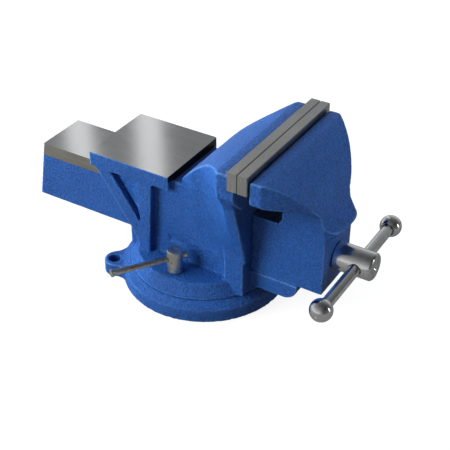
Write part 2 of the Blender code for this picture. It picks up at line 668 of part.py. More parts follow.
def make_lock(tag, side):
    """Lock bolt, its sliding bar and the T-nut that it pulls up in the base's slot."""
    centre = Vector((0.0, side * SLOT_CIRCLE, 0.0))
    heading = LOCK_BAR_HEADING if side < 0 else LOCK_BAR_HEADING - math.pi
    out = Vector((math.cos(heading), math.sin(heading), 0.0))
    bolt = turned("lock_bolt_" + tag, [
        (0.0, LOCK_HEAD_TOP),
        (LOCK_HEAD_RADIUS - 0.5 * MM, LOCK_HEAD_TOP),
        (LOCK_HEAD_RADIUS, LOCK_HEAD_TOP - 0.5 * MM),
        (LOCK_HEAD_RADIUS, FOOT_TOP + GAP),
        (LOCK_SHANK_RADIUS, FOOT_TOP + GAP),
        (LOCK_SHANK_RADIUS, SLOT_FLOOR + 1.0 * MM),
        (0.0, SLOT_FLOOR + 1.0 * MM),
    ], 32)
    bolt.location = centre
    high = centre + Vector((0, 0, LOCK_BAR_Z))
    cut(bolt, rod("lock_bar_hole_" + tag, high - out * 12 * MM, high + out * 12 * MM,
                  LOCK_BAR_RADIUS + GAP, 20))
    finish(bolt, ZINC_STEEL)

    swage = 2.6 * MM
    bar = turned("lock_bar_" + tag, [
        (0.0, LOCK_BAR_OUT),
        (swage - 0.6 * MM, LOCK_BAR_OUT),
        (swage, LOCK_BAR_OUT - 0.6 * MM),
        (swage, LOCK_BAR_OUT - 1.8 * MM),
        (LOCK_BAR_RADIUS, LOCK_BAR_OUT - 2.8 * MM),
        (LOCK_BAR_RADIUS, -LOCK_BAR_IN + 2.6 * MM),
        (swage, -LOCK_BAR_IN + 1.7 * MM),
        (swage, -LOCK_BAR_IN + 0.6 * MM),
        (swage - 0.6 * MM, -LOCK_BAR_IN),
        (0.0, -LOCK_BAR_IN),
    ], 20)
    bar.matrix_world = Matrix.Translation(high) @ out.to_track_quat("Z", "Y").to_matrix().to_4x4()
    finish(bar, ZINC_STEEL)

    nut = box("clamp_nut_" + tag, (-5.6 * MM, -8.2 * MM, SLOT_FLOOR + 0.4 * MM),
              (5.6 * MM, 8.2 * MM, SLOT_LIP - 0.4 * MM))
    nut.location = centre
    cut(nut, rod("clamp_thread_" + tag, centre, centre + Vector((0, 0, 20 * MM)),
                 LOCK_SHANK_RADIUS + GAP, 24))
    finish(nut, DARK_STEEL)


# ---------------------------------------------------------------- assembly

make_base()
make_body()
make_movable_jaw()
make_plate("fixed_jaw_plate", 1)
make_plate("movable_jaw_plate", -1)
for plate_side, plate_tag in ((-1, "near"), (1, "far")):
    make_plate_screw("fixed_jaw_screw_" + plate_tag, 1, plate_side)
    make_plate_screw("movable_jaw_screw_" + plate_tag, -1, plate_side)
make_lead_screw()
make_retainers()
make_lead_nut()
make_handle()
make_lock("near", -1)
make_lock("far", 1)
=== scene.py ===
"""Looks of the bench vise: detailed castings, ground and turned steel, studio and camera.

Everything is in metres in the frame's own axes: +X to the handle end, +Z up, with the
swivel axis at the origin. Places and sizes come from the CAD nodes of the frame.
"""

import json
import math

import bmesh
import bpy
import numpy as np
from mathutils import Matrix, Vector, noise

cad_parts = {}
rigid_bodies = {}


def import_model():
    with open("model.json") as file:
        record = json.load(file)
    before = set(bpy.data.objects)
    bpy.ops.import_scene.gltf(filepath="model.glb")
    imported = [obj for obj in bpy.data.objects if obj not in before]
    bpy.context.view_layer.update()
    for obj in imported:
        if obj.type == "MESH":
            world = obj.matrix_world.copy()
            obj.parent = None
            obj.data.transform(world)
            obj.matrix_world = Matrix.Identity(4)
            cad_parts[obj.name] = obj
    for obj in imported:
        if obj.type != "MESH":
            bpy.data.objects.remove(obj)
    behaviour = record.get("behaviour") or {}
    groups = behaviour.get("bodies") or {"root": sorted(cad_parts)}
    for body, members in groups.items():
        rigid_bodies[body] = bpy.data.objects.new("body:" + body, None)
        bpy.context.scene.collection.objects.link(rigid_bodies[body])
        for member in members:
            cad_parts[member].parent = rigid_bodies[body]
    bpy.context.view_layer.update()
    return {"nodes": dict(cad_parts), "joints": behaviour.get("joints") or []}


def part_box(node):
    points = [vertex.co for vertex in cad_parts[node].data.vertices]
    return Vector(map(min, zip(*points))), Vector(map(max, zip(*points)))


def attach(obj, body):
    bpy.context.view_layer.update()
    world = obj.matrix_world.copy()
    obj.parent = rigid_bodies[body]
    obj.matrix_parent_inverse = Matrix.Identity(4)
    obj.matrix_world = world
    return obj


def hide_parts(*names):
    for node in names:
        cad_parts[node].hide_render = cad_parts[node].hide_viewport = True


for leftover in list(bpy.data.objects):
    bpy.data.objects.remove(leftover, do_unlink=True)
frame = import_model()

MM = 0.001
WELD_DISTANCE = 0.002 * MM
EASED_FROM = math.radians(40.0)      # an edge of a CAD node that bends more than this is eased
SHARP_DEFAULT = math.radians(32.0)   # an edge that bends more than this is shaded as sharp
SHARP_TURNED = math.radians(28.0)
SHARP_MILLED = math.radians(30.0)
SHARP_CAST = math.radians(55.0)

# Castings
VOXEL = 0.75 * MM
ROUNDING_PASSES = 2                  # passes that round the casting's edges
FAIRING_PASSES = 30                  # passes that fair its curved faces and leave the edges
SPREAD_PASSES = 4                    # passes that spread the normals before they are compared
PULL = 0.5                           # share of the way to the neighbours' mean in one pass
EDGE_LOW = 0.003                     # spread of the normals where fairing begins to fade
EDGE_HIGH = 0.009                    # and where it has faded out
WAVE_SIZE = 7.0 * MM                 # slow unevenness of a cast face
WAVE_DEPTH = 0.07 * MM
SAND_SIZE = 2.0 * MM                 # marks of the sand mould
SAND_DEPTH = 0.045 * MM

# Machined faces
SPARE = 1.2 * MM                     # stock left on a face before it is cut flat
SLIDE_TOP = 70.8 * MM
SLIDE_HALF = 18.4 * MM
SLIDE_FRONT = 62.9 * MM              # the slide's top runs into the head here
BAND_HEIGHT = 8.9 * MM               # milled band along the top of the slide's sides
BAND_STEP = 0.2 * MM                 # how far the band lies inside the cast side
BAND_FRONT = 40.0 * MM
ANVIL_TOP = 84.3 * MM
ANVIL_FRONT = -8.4 * MM
ANVIL_LIP = 4.2 * MM                 # height of the anvil's milled front face, coloured near-black as painted shade
ANVIL_LIP_CUT = 0.3 * MM             # taken off that face
ANVIL_CUT_END = 2.0 * MM             # how far its cutters reach in front of it
AIR = 5.0 * MM                       # how far a cutter reaches beyond a face
SAME_LEVEL = 0.05 * MM               # play allowed when CAD corners are looked up by height
SAME_PLACE = 0.5 * MM                # and by X

# Three-cornered recess between the anvil, its brace and the rib of each wall
WALL_FACE = 28.4 * MM
CORNER_TOP = 74.0 * MM               # heights of its upper and lower ends
CORNER_FOOT = 44.8 * MM
CORNER_RIB = -30.6 * MM              # X of the rib, and of the brace at the two heights
CORNER_BRACE_TOP = -52.6 * MM
CORNER_BRACE_FOOT = -32.4 * MM
CORNER_DEPTH = 5.0 * MM              # along the brace
CORNER_STEPS = 16                    # its floor is twisted, so it is made in steps

# Jaw plates
PLATE_CHAMFER = 0.35 * MM
TOOTH_PITCH = 2.5 * MM
TOOTH_GROOVE = 0.55 * MM             # half width of a groove between the teeth
TOOTH_DEPTH = 0.4 * MM
TOOTH_BORDER = 1.0 * MM              # smooth border around the teeth
PLATE_GRID = 0.42 * MM               # size of the mesh that carries them
SINK_RADIUS = 5.3 * MM
SINK_DEPTH = 2.9 * MM
SINK_END_RADIUS = 2.2 * MM
SINK_LEAD = 0.2 * MM                 # how far the sink's cutter starts in front of the face
SCREW_HOLE_RADIUS = 2.7 * MM
PLATE_SCREW_Y = 30.0 * MM

# Spindle and handle
SPINDLE_SEGMENTS = 64
THREAD_PITCH = 4.0 * MM
THREAD_DEPTH = 1.5 * MM
THREAD_STEP = 0.32 * MM
THREAD_END = 60.0 * MM               # the thread ends here and a plain journal follows
THREAD_FADE = 3.0 * MM               # length over which it grows and runs out
THREAD_CREST = 0.38                  # shares of the pitch: the crest's end
THREAD_ROOT = 0.52                   # and the root's start
JOURNAL_RADIUS = 7.7 * MM
TIP_CHAMFER = 1.6 * MM
TIP_LAND = 0.1 * MM                  # plain land between the tip's chamfer and the thread
SPINDLE_HEAD_START = 93.5 * MM
SPINDLE_HEAD_REAR_CHAMFER = 0.5 * MM
SPINDLE_HEAD_END_CHAMFER = 1.1 * MM
SPINDLE_EASE = 0.35 * MM
CENTRE_RADIUS = 3.0 * MM             # centre drilling in the end of the head
CENTRE_SEAT_RADIUS = 1.6 * MM
CENTRE_SEAT_DEPTH = 1.2 * MM
CENTRE_DEPTH = 1.8 * MM
HANDLE_HOLE_GAP = 0.3 * MM
HANDLE_HOLE_CHAMFER = 0.5 * MM
HANDLE_BAR_EASE = 0.5 * MM
KNOB_SEGMENTS = 72
KNOB_STEPS = 40
KNOB_BORE_GAP = 0.25 * MM            # between the bar and a ball's bore
KNOB_MOUTH_CHAMFER = 0.4 * MM
KNOB_MOUTH_DEPTH = 0.5 * MM
KNOB_MOUTH_LIP = 0.9 * MM            # from the bore to where the round part begins
KNOB_BORE_END = 0.2                  # share of the ball's radius from its middle to the bore's end
KNOB_ROUND_END = math.radians(172.0)  # angle from the bore at which the round part ends
KNOB_DIMPLE_RADIUS = 0.35 * MM       # small dimple at the outer end
KNOB_DIMPLE_EDGE = 0.5 * MM
KNOB_DIMPLE_DEPTH = 0.6 * MM

# Swivel locks
LOCK_BOLT_SEGMENTS = 64
LOCK_BAR_SEGMENTS = 40
LOCK_SEAT = 22.9 * MM                # height of the seat on the foot
LOCK_SHANK_RADIUS = 3.0 * MM
LOCK_WAIST = 0.2 * MM                # how much thinner the head is above its seat
LOCK_WAIST_TOP = 1.6 * MM            # heights above the seat: the waist's end,
LOCK_GROOVE = 2.0 * MM               # the bottom of the groove above it
LOCK_GROOVE_TOP = 2.5 * MM           # and the groove's end
LOCK_GROOVE_DEPTH = 0.55 * MM
LOCK_TOP_CHAMFER = 0.8 * MM
LOCK_DIMPLE_RADIUS = 1.2 * MM
LOCK_DIMPLE_FLOOR_RADIUS = 0.5 * MM
LOCK_DIMPLE_FLOOR_DEPTH = 0.45 * MM
LOCK_DIMPLE_DEPTH = 0.5 * MM
LOCK_HOLE_RADIUS = 2.2 * MM
LOCK_HOLE_CHAMFER = 0.35 * MM
LOCK_EASE = 0.3 * MM
LOCK_BAR_RADIUS = 1.9 * MM
LOCK_BAR_NEAR = -8.4 * MM            # ends of the bar, measured from the bolt's axis
LOCK_BAR_FAR = 42.0 * MM
LOCK_BAR_CHAMFER = 0.6 * MM          # length of the chamfer at each end
LOCK_BAR_CHAMFER_DEPTH = 0.5 * MM
LOCK_BAR_NEAR_SWAGE = 1.5 * MM       # from each end: where its swage ends
LOCK_BAR_NEAR_NECK = 2.6 * MM        # and where the plain bar begins
LOCK_BAR_FAR_SWAGE = 1.7 * MM
LOCK_BAR_FAR_NECK = 3.0 * MM
LOCK_BAR_DIMPLE_RADIUS = 0.9 * MM
LOCK_BAR_DIMPLE_DEPTH = 0.25 * MM

# Studio
FLOOR_HALF = 6.0
FLOOR_DROP = 0.05 * MM               # the floor lies this far below the base
FLOOR_TONE = 0.23
FLOOR_MOTTLE = 0.01
FLOOR_LIFT = 0.86                    # brings the floor up to white for the camera alone
CAMERA_PLACE = Vector((0.28774, -0.44804, 0.41122))
CAMERA_TILT = math.radians(90.0 - 35.186)
CAMERA_ROLL = math.radians(0.097)
CAMERA_HEADING = math.radians(31.351)
CAMERA_LENS = 80.89
CAMERA_SENSOR = 36.0
CAMERA_NEAR = 0.01
CAMERA_FAR = 50.0
WHITE = (1.0, 1.0, 1.0)
LIGHT_TARGET = (0.0, 0.0, 0.06)
KEY_PLACE = (-0.88, -1.08, 0.68)
STRIP_DISTANCE = 2.1                 # from the camera, measured level
STRIP_HEIGHT = 1.15                  # of its middle
STRIP_WIDTH = 0.065
STRIP_LENGTH = 1.7
STRIP_POWER = 0.36
STRIP_TARGET = (0.0, 0.0, 0.08)


# ---------------------------------------------------------------- mesh helpers

def add_object(name, mesh):
    """A new object of a mesh, in the scene."""
    obj = bpy.data.objects.new(name, mesh)
    bpy.context.scene.collection.objects.link(obj)
    return obj


def mesh_from_bmesh(name, bm):
    """A mesh whose faces all look outwards; the bmesh is freed."""
    bmesh.ops.recalc_face_normals(bm, faces=bm.faces)
    mesh = bpy.data.meshes.new(name)
    bm.to_mesh(mesh)
    bm.free()
    return mesh


def bake_modifiers(obj):
    """Replaces an object's mesh with the result of its modifiers."""
    depsgraph = bpy.context.evaluated_depsgraph_get()
    mesh = bpy.data.meshes.new_from_object(obj.evaluated_get(depsgraph))
    obj.modifiers.clear()
    old = obj.data
    obj.data = mesh
    bpy.data.meshes.remove(old)


def get_points(mesh):
    """The vertices' places, one row for each vertex."""
    points = np.empty(len(mesh.vertices) * 3)
    mesh.vertices.foreach_get("co", points)
    return points.reshape(-1, 3)


def set_points(mesh, points):
    """Moves the vertices to new places."""
    mesh.vertices.foreach_set("co", points.ravel())
    mesh.update()


def get_normals(mesh):
    """The vertices' normals, one row for each vertex."""
    normals = np.empty(len(mesh.vertices) * 3)
    mesh.vertices.foreach_get("normal", normals)
    return normals.reshape(-1, 3)


class Neighbours:
    """Averages a value over each vertex's neighbours."""

    def __init__(self, mesh):
        """Notes both directions of every edge."""
        ends = np.empty(len(mesh.edges) * 2, dtype=np.int64)
        mesh.edges.foreach_get("vertices", ends)
        ends = ends.reshape(-1, 2)
        self.here = np.concatenate([ends[:, 0], ends[:, 1]])
        self.there = np.concatenate([ends[:, 1], ends[:, 0]])
        self.count = len(mesh.vertices)
        self.degree = np.maximum(np.bincount(self.here, minlength=self.count), 1)

    def mean(self, values):
        """The mean of the neighbours' rows, for each vertex."""
        columns = [np.bincount(self.here, weights=values[self.there, axis], minlength=self.count)
                   for axis in range(values.shape[1])]
        return np.stack(columns, axis=1) / self.degree[:, None]


def revolve(name, profile, segments):
    """A turned solid about local Z; the profile of (radius, height) starts and ends on the axis."""
    bm = bmesh.new()
    rings = []
    for radius, height in profile:
        if radius == 0.0:
            rings.append([bm.verts.new((0.0, 0.0, height))])
            continue
        ring = []
        for i in range(segments):
            angle = 2 * math.pi * i / segments
            ring.append(bm.verts.new((radius * math.cos(angle), radius * math.sin(angle), height)))
        rings.append(ring)
    for lower, upper in zip(rings, rings[1:]):
        for i in range(segments):
            j = (i + 1) % segments
            corners = [lower[i % len(lower)], lower[j % len(lower)],
                       upper[j % len(upper)], upper[i % len(upper)]]
            bm.faces.new(list(dict.fromkeys(corners)))
    return add_object(name, mesh_from_bmesh(name, bm))


def eased(profile, radius, steps=4):
    """The profile with its corners rounded, except at its two ends."""
    largest_share = 0.45             # of the shorter side that a rounding may take
    points = [profile[0]]
    for before, corner, after in zip(profile, profile[1:], profile[2:]):
        corner = Vector(corner)
        back = Vector(before) - corner
        on = Vector(after) - corner
        start = corner + back.normalized() * min(radius, back.length * largest_share)
        end = corner + on.normalized() * min(radius, on.length * largest_share)
        for i in range(steps + 1):
            t = i / steps
            points.append(tuple(start.lerp(corner, t).lerp(corner.lerp(end, t), t)))
    points.append(profile[-1])
    return points


def box_cutter(low, high):
    """A box-shaped cutter between two opposite corners."""
    bm = bmesh.new()
    bmesh.ops.create_cube(bm, size=1.0)
    size = Vector(high) - Vector(low)
    bmesh.ops.scale(bm, vec=size, verts=bm.verts)
    bmesh.ops.translate(bm, vec=(Vector(high) + Vector(low)) / 2, verts=bm.verts)
    return add_object("cutter", mesh_from_bmesh("cutter", bm))


def cone_cutter(start, end, start_radius, end_radius, segments=48):
    """A cutter along the line from start to end."""
    start = Vector(start)
    along = Vector(end) - start
    profile = [(0.0, 0.0), (start_radius, 0.0), (end_radius, along.length), (0.0, along.length)]
    cutter = revolve("cutter", profile, segments)
    turn = along.to_track_quat("Z", "Y").to_matrix().to_4x4()
    cutter.data.transform(Matrix.Translation(start) @ turn)
    return cutter


def cut(obj, cutter, material=None):
    """Takes the cutter's volume out of an object; the new faces take the material."""
    if material:
        cutter.data.materials.append(material)
    modifier = obj.modifiers.new("cut", "BOOLEAN")
    modifier.operation = "DIFFERENCE"
    modifier.solver = "MANIFOLD"
    modifier.object = cutter
    modifier.material_mode = "TRANSFER" if material else "INDEX"
    bake_modifiers(obj)
    old = cutter.data
    bpy.data.objects.remove(cutter, do_unlink=True)
    bpy.data.meshes.remove(old)


def cut_hole(obj, start, end, radius, chamfer=0.0):
    """A round hole from start to end, with a chamfer at both mouths."""
    start = Vector(start)
    end = Vector(end)
    along = (end - start).normalized()
    beyond = 3.0 * MM
    cut(obj, cone_cutter(start - along * beyond, end + along * beyond, radius, radius))
    if chamfer:
        for mouth, outwards in ((start, -along), (end, along)):
            cut(obj, cone_cutter(mouth - outwards * chamfer, mouth + outwards * chamfer,
                                 radius, radius + 2 * chamfer))


def shade(obj, sharpest=SHARP_DEFAULT):
    """Smooth shading, except at edges that bend more than an angle."""
    obj.data.shade_smooth()
    obj.data.set_sharp_from_angle(angle=sharpest)


def install(obj, material, slot, body, *nodes):
    """Gives a finished piece its material and puts it in place of CAD nodes; the slot is not used.
    """
    if material:
        obj.data.materials.clear()
        obj.data.materials.append(material)
    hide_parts(*nodes)
    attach(obj, body)


# ---------------------------------------------------------------- material helpers

def add_node(tree, kind, settings=None, **values):
    """A node with its properties and inputs set; an input given a socket is linked to it."""
    node = tree.nodes.new(kind)
    for key, value in (settings or {}).items():
        setattr(node, key, value)
    for key, value in values.items():
        socket = node.inputs[key.replace("_", " ")]
        if isinstance(value, bpy.types.NodeSocket):
            tree.links.new(value, socket)
        else:
            socket.default_value = value
    return node


def new_material(name, metallic, ior=1.5):
    """A new material, its node tree and its shader."""
    material = bpy.data.materials.new(name)
    material.use_nodes = True
    shader = material.node_tree.nodes["Principled BSDF"]
    shader.inputs["Metallic"].default_value = metallic
    shader.inputs["IOR"].default_value = ior
    return material, material.node_tree, shader


def stretched(tree, scale):
    """Object coordinates times a scale for each axis, in repeats per metre."""
    place = add_node(tree, "ShaderNodeTexCoord")
    mapping = add_node(tree, "ShaderNodeMapping", Vector=place.outputs["Object"])
    mapping.inputs["Scale"].default_value = scale
    return mapping.outputs["Vector"]


def noise_value(tree, scale, detail=2.0, roughness=0.5):
    """Noise with a scale for each axis, or one for all three."""
    if not isinstance(scale, tuple):
        scale = (scale, scale, scale)
    node = add_node(tree, "ShaderNodeTexNoise", Vector=stretched(tree, scale), Scale=1.0,
                    Detail=detail, Roughness=roughness)
    return node.outputs["Fac"]


def ramp(tree, value, *stops):
    """Colours or grey levels along a value; each stop is (place, colour)."""
    node = add_node(tree, "ShaderNodeValToRGB", Fac=value)
    elements = node.color_ramp.elements
    while len(elements) < len(stops):
        elements.new(0.5)
    for element, (place, colour) in zip(elements, stops):
        if not isinstance(colour, tuple):
            colour = (colour, colour, colour)
        element.position = place
        element.color = (*colour, 1.0)
    return node.outputs["Color"]


def mix_colour(tree, share, a, b, blend="MIX"):
    """Colour a with a share of colour b blended into it; each may be a socket or a value."""
    node = tree.nodes.new("ShaderNodeMix")
    node.data_type = "RGBA"
    node.blend_type = blend
    factor = node.inputs[0]
    first, second = (socket for socket in node.inputs if socket.type == "RGBA")
    for socket, value in ((factor, share), (first, a), (second, b)):
        if isinstance(value, bpy.types.NodeSocket):
            tree.links.new(value, socket)
        elif socket.type == "RGBA":
            socket.default_value = (*value, 1.0)
        else:
            socket.default_value = value
    return next(socket for socket in node.outputs if socket.type == "RGBA")


def bump(tree, height, depth, strength=1.0, under=None):
    """A bump of a real depth in metres, on top of another bump."""
    values = {"Height": height, "Strength": strength, "Distance": depth}
    if under:
        values["Normal"] = under
    return add_node(tree, "ShaderNodeBump", **values).outputs["Normal"]


def edge_value(tree, low, high):
    """0 on faces and up to 1 on outer edges of a finely meshed piece."""
    geometry = add_node(tree, "ShaderNodeNewGeometry")
    return ramp(tree, geometry.outputs["Pointiness"], (low, 0.0), (high, 1.0))


def finish_material(tree, shader, colour, roughness, normal):
    """Links the three patterns of a surface to its shader."""
    tree.links.new(colour, shader.inputs["Base Color"])
    tree.links.new(roughness, shader.inputs["Roughness"])
    tree.links.new(normal, shader.inputs["Normal"])


# ---------------------------------------------------------------- materials

def make_blue_paint():
    """Glossy blue enamel over a sand-cast surface, with painted highlights along its outer edges."""
    material, tree, shader = new_material("blue_enamel", 0.0)
    shader.inputs["Specular IOR Level"].default_value = 0.45
    cloud = noise_value(tree, 30.0, detail=3.0)
    sand = noise_value(tree, 700.0, detail=2.0, roughness=0.6)
    fleck = noise_value(tree, 1500.0, detail=1.0)
    body = ramp(tree, cloud, (0.3, (0.018, 0.101, 0.405)), (0.7, (0.025, 0.131, 0.50)))
    grained = mix_colour(tree, 0.6, body, ramp(tree, sand, (0.4, 0.35), (0.6, 1.0)), "MULTIPLY")
    # lighter blue along the outer edges: a painted highlight where light would catch the rounded
    # edges
    painted_edge_highlight = mix_colour(tree, edge_value(tree, 0.515, 0.56), grained, (0.095, 0.275, 0.68))
    chips = ramp(tree, noise_value(tree, 330.0, detail=2.0, roughness=0.7), (0.66, 0.0), (0.7, 1.0))
    bare = mix_colour(tree, edge_value(tree, 0.56, 0.62), (0.0, 0.0, 0.0), chips)
    colour = mix_colour(tree, bare, painted_edge_highlight, (0.16, 0.19, 0.25))
    roughness = ramp(tree, mix_colour(tree, 0.5, cloud, fleck), (0.3, 0.27), (0.7, 0.44))
    relief = bump(tree, sand, 0.9 * MM, 1.0)
    relief = bump(tree, fleck, 0.6 * MM, 1.0, relief)
    finish_material(tree, shader, colour, roughness, relief)
    return material


def make_ground_steel(name, grain, dark, light, smooth, rough, depth):
    """Ground steel; grain is the noise scale on X, Y and Z, smallest along the grinding."""
    material, tree, shader = new_material(name, 1.0)
    scratches = noise_value(tree, grain, detail=3.0, roughness=0.65)
    stain = noise_value(tree, 45.0, detail=4.0, roughness=0.6)
    tone = mix_colour(tree, 0.35, scratches, stain)
    colour = ramp(tree, tone, (0.3, dark), (0.7, light))
    roughness = ramp(tree, mix_colour(tree, 0.5, scratches, stain), (0.3, smooth), (0.7, rough))
    relief = bump(tree, scratches, depth, 0.8)
    finish_material(tree, shader, colour, roughness, relief)
    return material


def make_turned_steel(name, rings, dark, light, smooth, rough):
    """Polished steel with faint tool marks; rings is the noise scale on X, Y and Z, largest
    along the axis on which the piece was turned."""
    material, tree, shader = new_material(name, 1.0)
    marks = noise_value(tree, rings, detail=2.0, roughness=0.6)
    smudge = noise_value(tree, 90.0, detail=4.0, roughness=0.6)
    colour = ramp(tree, smudge, (0.3, dark), (0.65, light))
    roughness = ramp(tree, mix_colour(tree, 0.5, marks, smudge), (0.35, smooth), (0.7, rough))
    relief = bump(tree, marks, 0.003 * MM, 0.4)
    relief = bump(tree, smudge, 0.01 * MM, 0.2, relief)
    finish_material(tree, shader, colour, roughness, relief)
    return material


def make_zinc():
    """Yellowish zinc plate, mottled by handling."""
    material, tree, shader = new_material("zinc_plate", 1.0)
    mottle = noise_value(tree, 380.0, detail=4.0, roughness=0.65)
    wash = noise_value(tree, 60.0, detail=3.0)
    tint = mix_colour(tree, 0.45, mottle, wash)
    colour = ramp(tree, tint, (0.3, (0.50, 0.46, 0.39)), (0.55, (0.78, 0.74, 0.66)),
                  (0.75, (0.93, 0.91, 0.86)))
    roughness = ramp(tree, mottle, (0.3, 0.24), (0.7, 0.46))
    relief = bump(tree, mottle, 0.05 * MM, 0.5)
    finish_material(tree, shader, colour, roughness, relief)
    return material


def make_black_oxide():
    """Blackened steel of the hidden screws and nuts."""
    material, tree, shader = new_material("black_oxide", 1.0)
    crystals = noise_value(tree, 1600.0, detail=3.0, roughness=0.6)
    wear = noise_value(tree, 160.0, detail=3.0, roughness=0.6)
    colour = ramp(tree, wear, (0.35, (0.035, 0.036, 0.04)), (0.75, (0.13, 0.13, 0.135)))
    roughness = ramp(tree, crystals, (0.3, 0.36), (0.7, 0.6))
    finish_material(tree, shader, colour, roughness, bump(tree, crystals, 0.03 * MM, 0.6))
    return material


def make_cast_iron():
    """Bare grey iron, rough from the mould."""
    material, tree, shader = new_material("bare_iron", 1.0)
    sand = noise_value(tree, 650.0, detail=4.0, roughness=0.65)
    wash = noise_value(tree, 70.0, detail=3.0)
    colour = ramp(tree, mix_colour(tree, 0.5, sand, wash), (0.3, (0.11, 0.105, 0.10)),
                  (0.7, (0.27, 0.26, 0.25)))
    roughness = ramp(tree, sand, (0.3, 0.45), (0.7, 0.72))
    finish_material(tree, shader, colour, roughness, bump(tree, sand, 0.2 * MM, 0.7))
    return material


BLUE_PAINT = make_blue_paint()
MILLED_STEEL = make_ground_steel("milled_steel", (55.0, 1500.0, 1500.0),
                                 (0.46, 0.46, 0.46), (0.52, 0.52, 0.52), 0.09, 0.13, 0.001 * MM)
BAND_STEEL = make_ground_steel("band_steel", (60.0, 1500.0, 1500.0),
                               (0.42, 0.39, 0.35), (0.62, 0.58, 0.53), 0.3, 0.42, 0.01 * MM)
# near-black steel of the anvil's milled front face: painted shade of the notch that the face looks
# into
ANVIL_FRONT_PAINTED_SHADE = make_ground_steel("anvil_front_painted_shade", (60.0, 1500.0, 1500.0),
                                 (0.03, 0.028, 0.03), (0.10, 0.085, 0.07), 0.35, 0.5, 0.01 * MM)
PLATE_STEEL = make_ground_steel("plate_steel", (1300.0, 1500.0, 70.0),
                                (0.46, 0.45, 0.435), (0.70, 0.69, 0.67), 0.26, 0.4, 0.01 * MM)
SPINDLE_STEEL = make_turned_steel("spindle_steel", (1500.0, 60.0, 60.0), (0.76, 0.75, 0.74),
                                  (0.93, 0.92, 0.91), 0.12, 0.22)
HANDLE_STEEL = make_turned_steel("handle_steel", (90.0, 1300.0, 90.0), (0.82, 0.81, 0.80),
                                 (0.96, 0.95, 0.94), 0.08, 0.16)
ZINC = make_zinc()
BLACK_OXIDE = make_black_oxide()
CAST_IRON = make_cast_iron()


# ---------------------------------------------------------------- castings

def faired(mesh):
    """Rounds all edges a little, then fairs the faces between them."""
    near = Neighbours(mesh)
    points = get_points(mesh)
    for _ in range(ROUNDING_PASSES):
        points += PULL * (near.mean(points) - points)
    set_points(mesh, points)
    spread = get_normals(mesh)
    for _ in range(SPREAD_PASSES):
        spread = near.mean(spread)
    bend = 1.0 - np.linalg.norm(spread, axis=1)
    free = np.clip((EDGE_HIGH - bend) / (EDGE_HIGH - EDGE_LOW), 0.0, 1.0)[:, None]
    for _ in range(FAIRING_PASSES):
        points += PULL * free * (near.mean(points) - points)
    set_points(mesh, points)


def add_cast_grain(mesh):
    """Moves the surface in and out by a few hundredths of a millimetre."""
    points = get_points(mesh)
    normals = get_normals(mesh)
    rise = np.empty(len(points))
    for i, point in enumerate(points):
        place = Vector(point)
        rise[i] = (WAVE_DEPTH * noise.noise(place / WAVE_SIZE)
                   + SAND_DEPTH * noise.noise(place / SAND_SIZE))
    set_points(mesh, points + normals * rise[:, None])


def cast(name, node, stock=None):
    """A casting in the shape of a CAD node, with rounded edges and a sand-cast surface.

    stock(point) says which of the CAD corners get spare material on top before a face is cut.
    """
    bm = bmesh.new()
    bm.from_mesh(frame["nodes"][node].data)
    bmesh.ops.remove_doubles(bm, verts=bm.verts, dist=WELD_DISTANCE)
    for vert in bm.verts:
        if stock and stock(vert.co):
            vert.co.z += SPARE
    obj = add_object(name, mesh_from_bmesh(name, bm))
    remesh = obj.modifiers.new("skin", "REMESH")
    remesh.mode = "VOXEL"
    remesh.voxel_size = VOXEL
    bake_modifiers(obj)
    faired(obj.data)
    add_cast_grain(obj.data)
    obj.data.materials.clear()
    obj.data.materials.append(BLUE_PAINT)
    return obj


def shade_casting(obj):
    """Smooth shading, with crisp borders around the machined faces and at cut edges."""
    obj.data.shade_smooth()
    bm = bmesh.new()
    bm.from_mesh(obj.data)
    for edge in bm.edges:
        if len(edge.link_faces) != 2:
            continue
        first, second = (face.material_index for face in edge.link_faces)
        sharpest = SHARP_MILLED if first else SHARP_CAST
        if first != second or edge.calc_face_angle() > sharpest:
            edge.smooth = False
    bm.to_mesh(obj.data)
    bm.free()


def corner_cutter(side):
    """A three-cornered recess: deep along the slanting brace, level with the rib in front."""
    bm = bmesh.new()
    rows = []
    outside = side * (WALL_FACE + AIR)
    for i in range(CORNER_STEPS + 1):
        share = i / CORNER_STEPS
        z = CORNER_TOP + (CORNER_FOOT - CORNER_TOP) * share
        brace = CORNER_BRACE_TOP + (CORNER_BRACE_FOOT - CORNER_BRACE_TOP) * share
        plan = [(brace, side * (WALL_FACE - CORNER_DEPTH)), (CORNER_RIB, side * WALL_FACE),
                (CORNER_RIB, outside), (brace, outside)]
        rows.append([bm.verts.new((x, y, z)) for x, y in plan])
    for upper, lower in zip(rows, rows[1:]):
        for k in range(len(upper)):
            m = (k + 1) % len(upper)
            bm.faces.new((upper[k], upper[m], lower[m], lower[k]))
    bm.faces.new(rows[0])
    bm.faces.new(rows[-1])
    return add_object("cutter", mesh_from_bmesh("cutter", bm))


def make_body():
    """The body casting, with the anvil's top milled, its milled front coloured near-black as painted
    shade, and the two side recesses.
    """
    low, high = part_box("vise_body")
    body = cast("body_casting", "vise_body",
                lambda co: co.z > ANVIL_TOP - SAME_LEVEL and co.x < ANVIL_FRONT + SAME_PLACE)
    cut_end = ANVIL_FRONT + ANVIL_CUT_END
    cut(body, box_cutter((low.x - AIR, low.y, ANVIL_TOP), (cut_end, high.y, high.z)), MILLED_STEEL)
    # the anvil's front face takes the near-black steel, as painted shade
    cut(body, box_cutter((ANVIL_FRONT - ANVIL_LIP_CUT, low.y - AIR, ANVIL_TOP - ANVIL_LIP),
                         (cut_end, high.y + AIR, high.z)), ANVIL_FRONT_PAINTED_SHADE)
    for side in (-1, 1):
        cut(body, corner_cutter(side))
    shade_casting(body)
    install(body, None, "blue_paint", "vise_body", "vise_body")


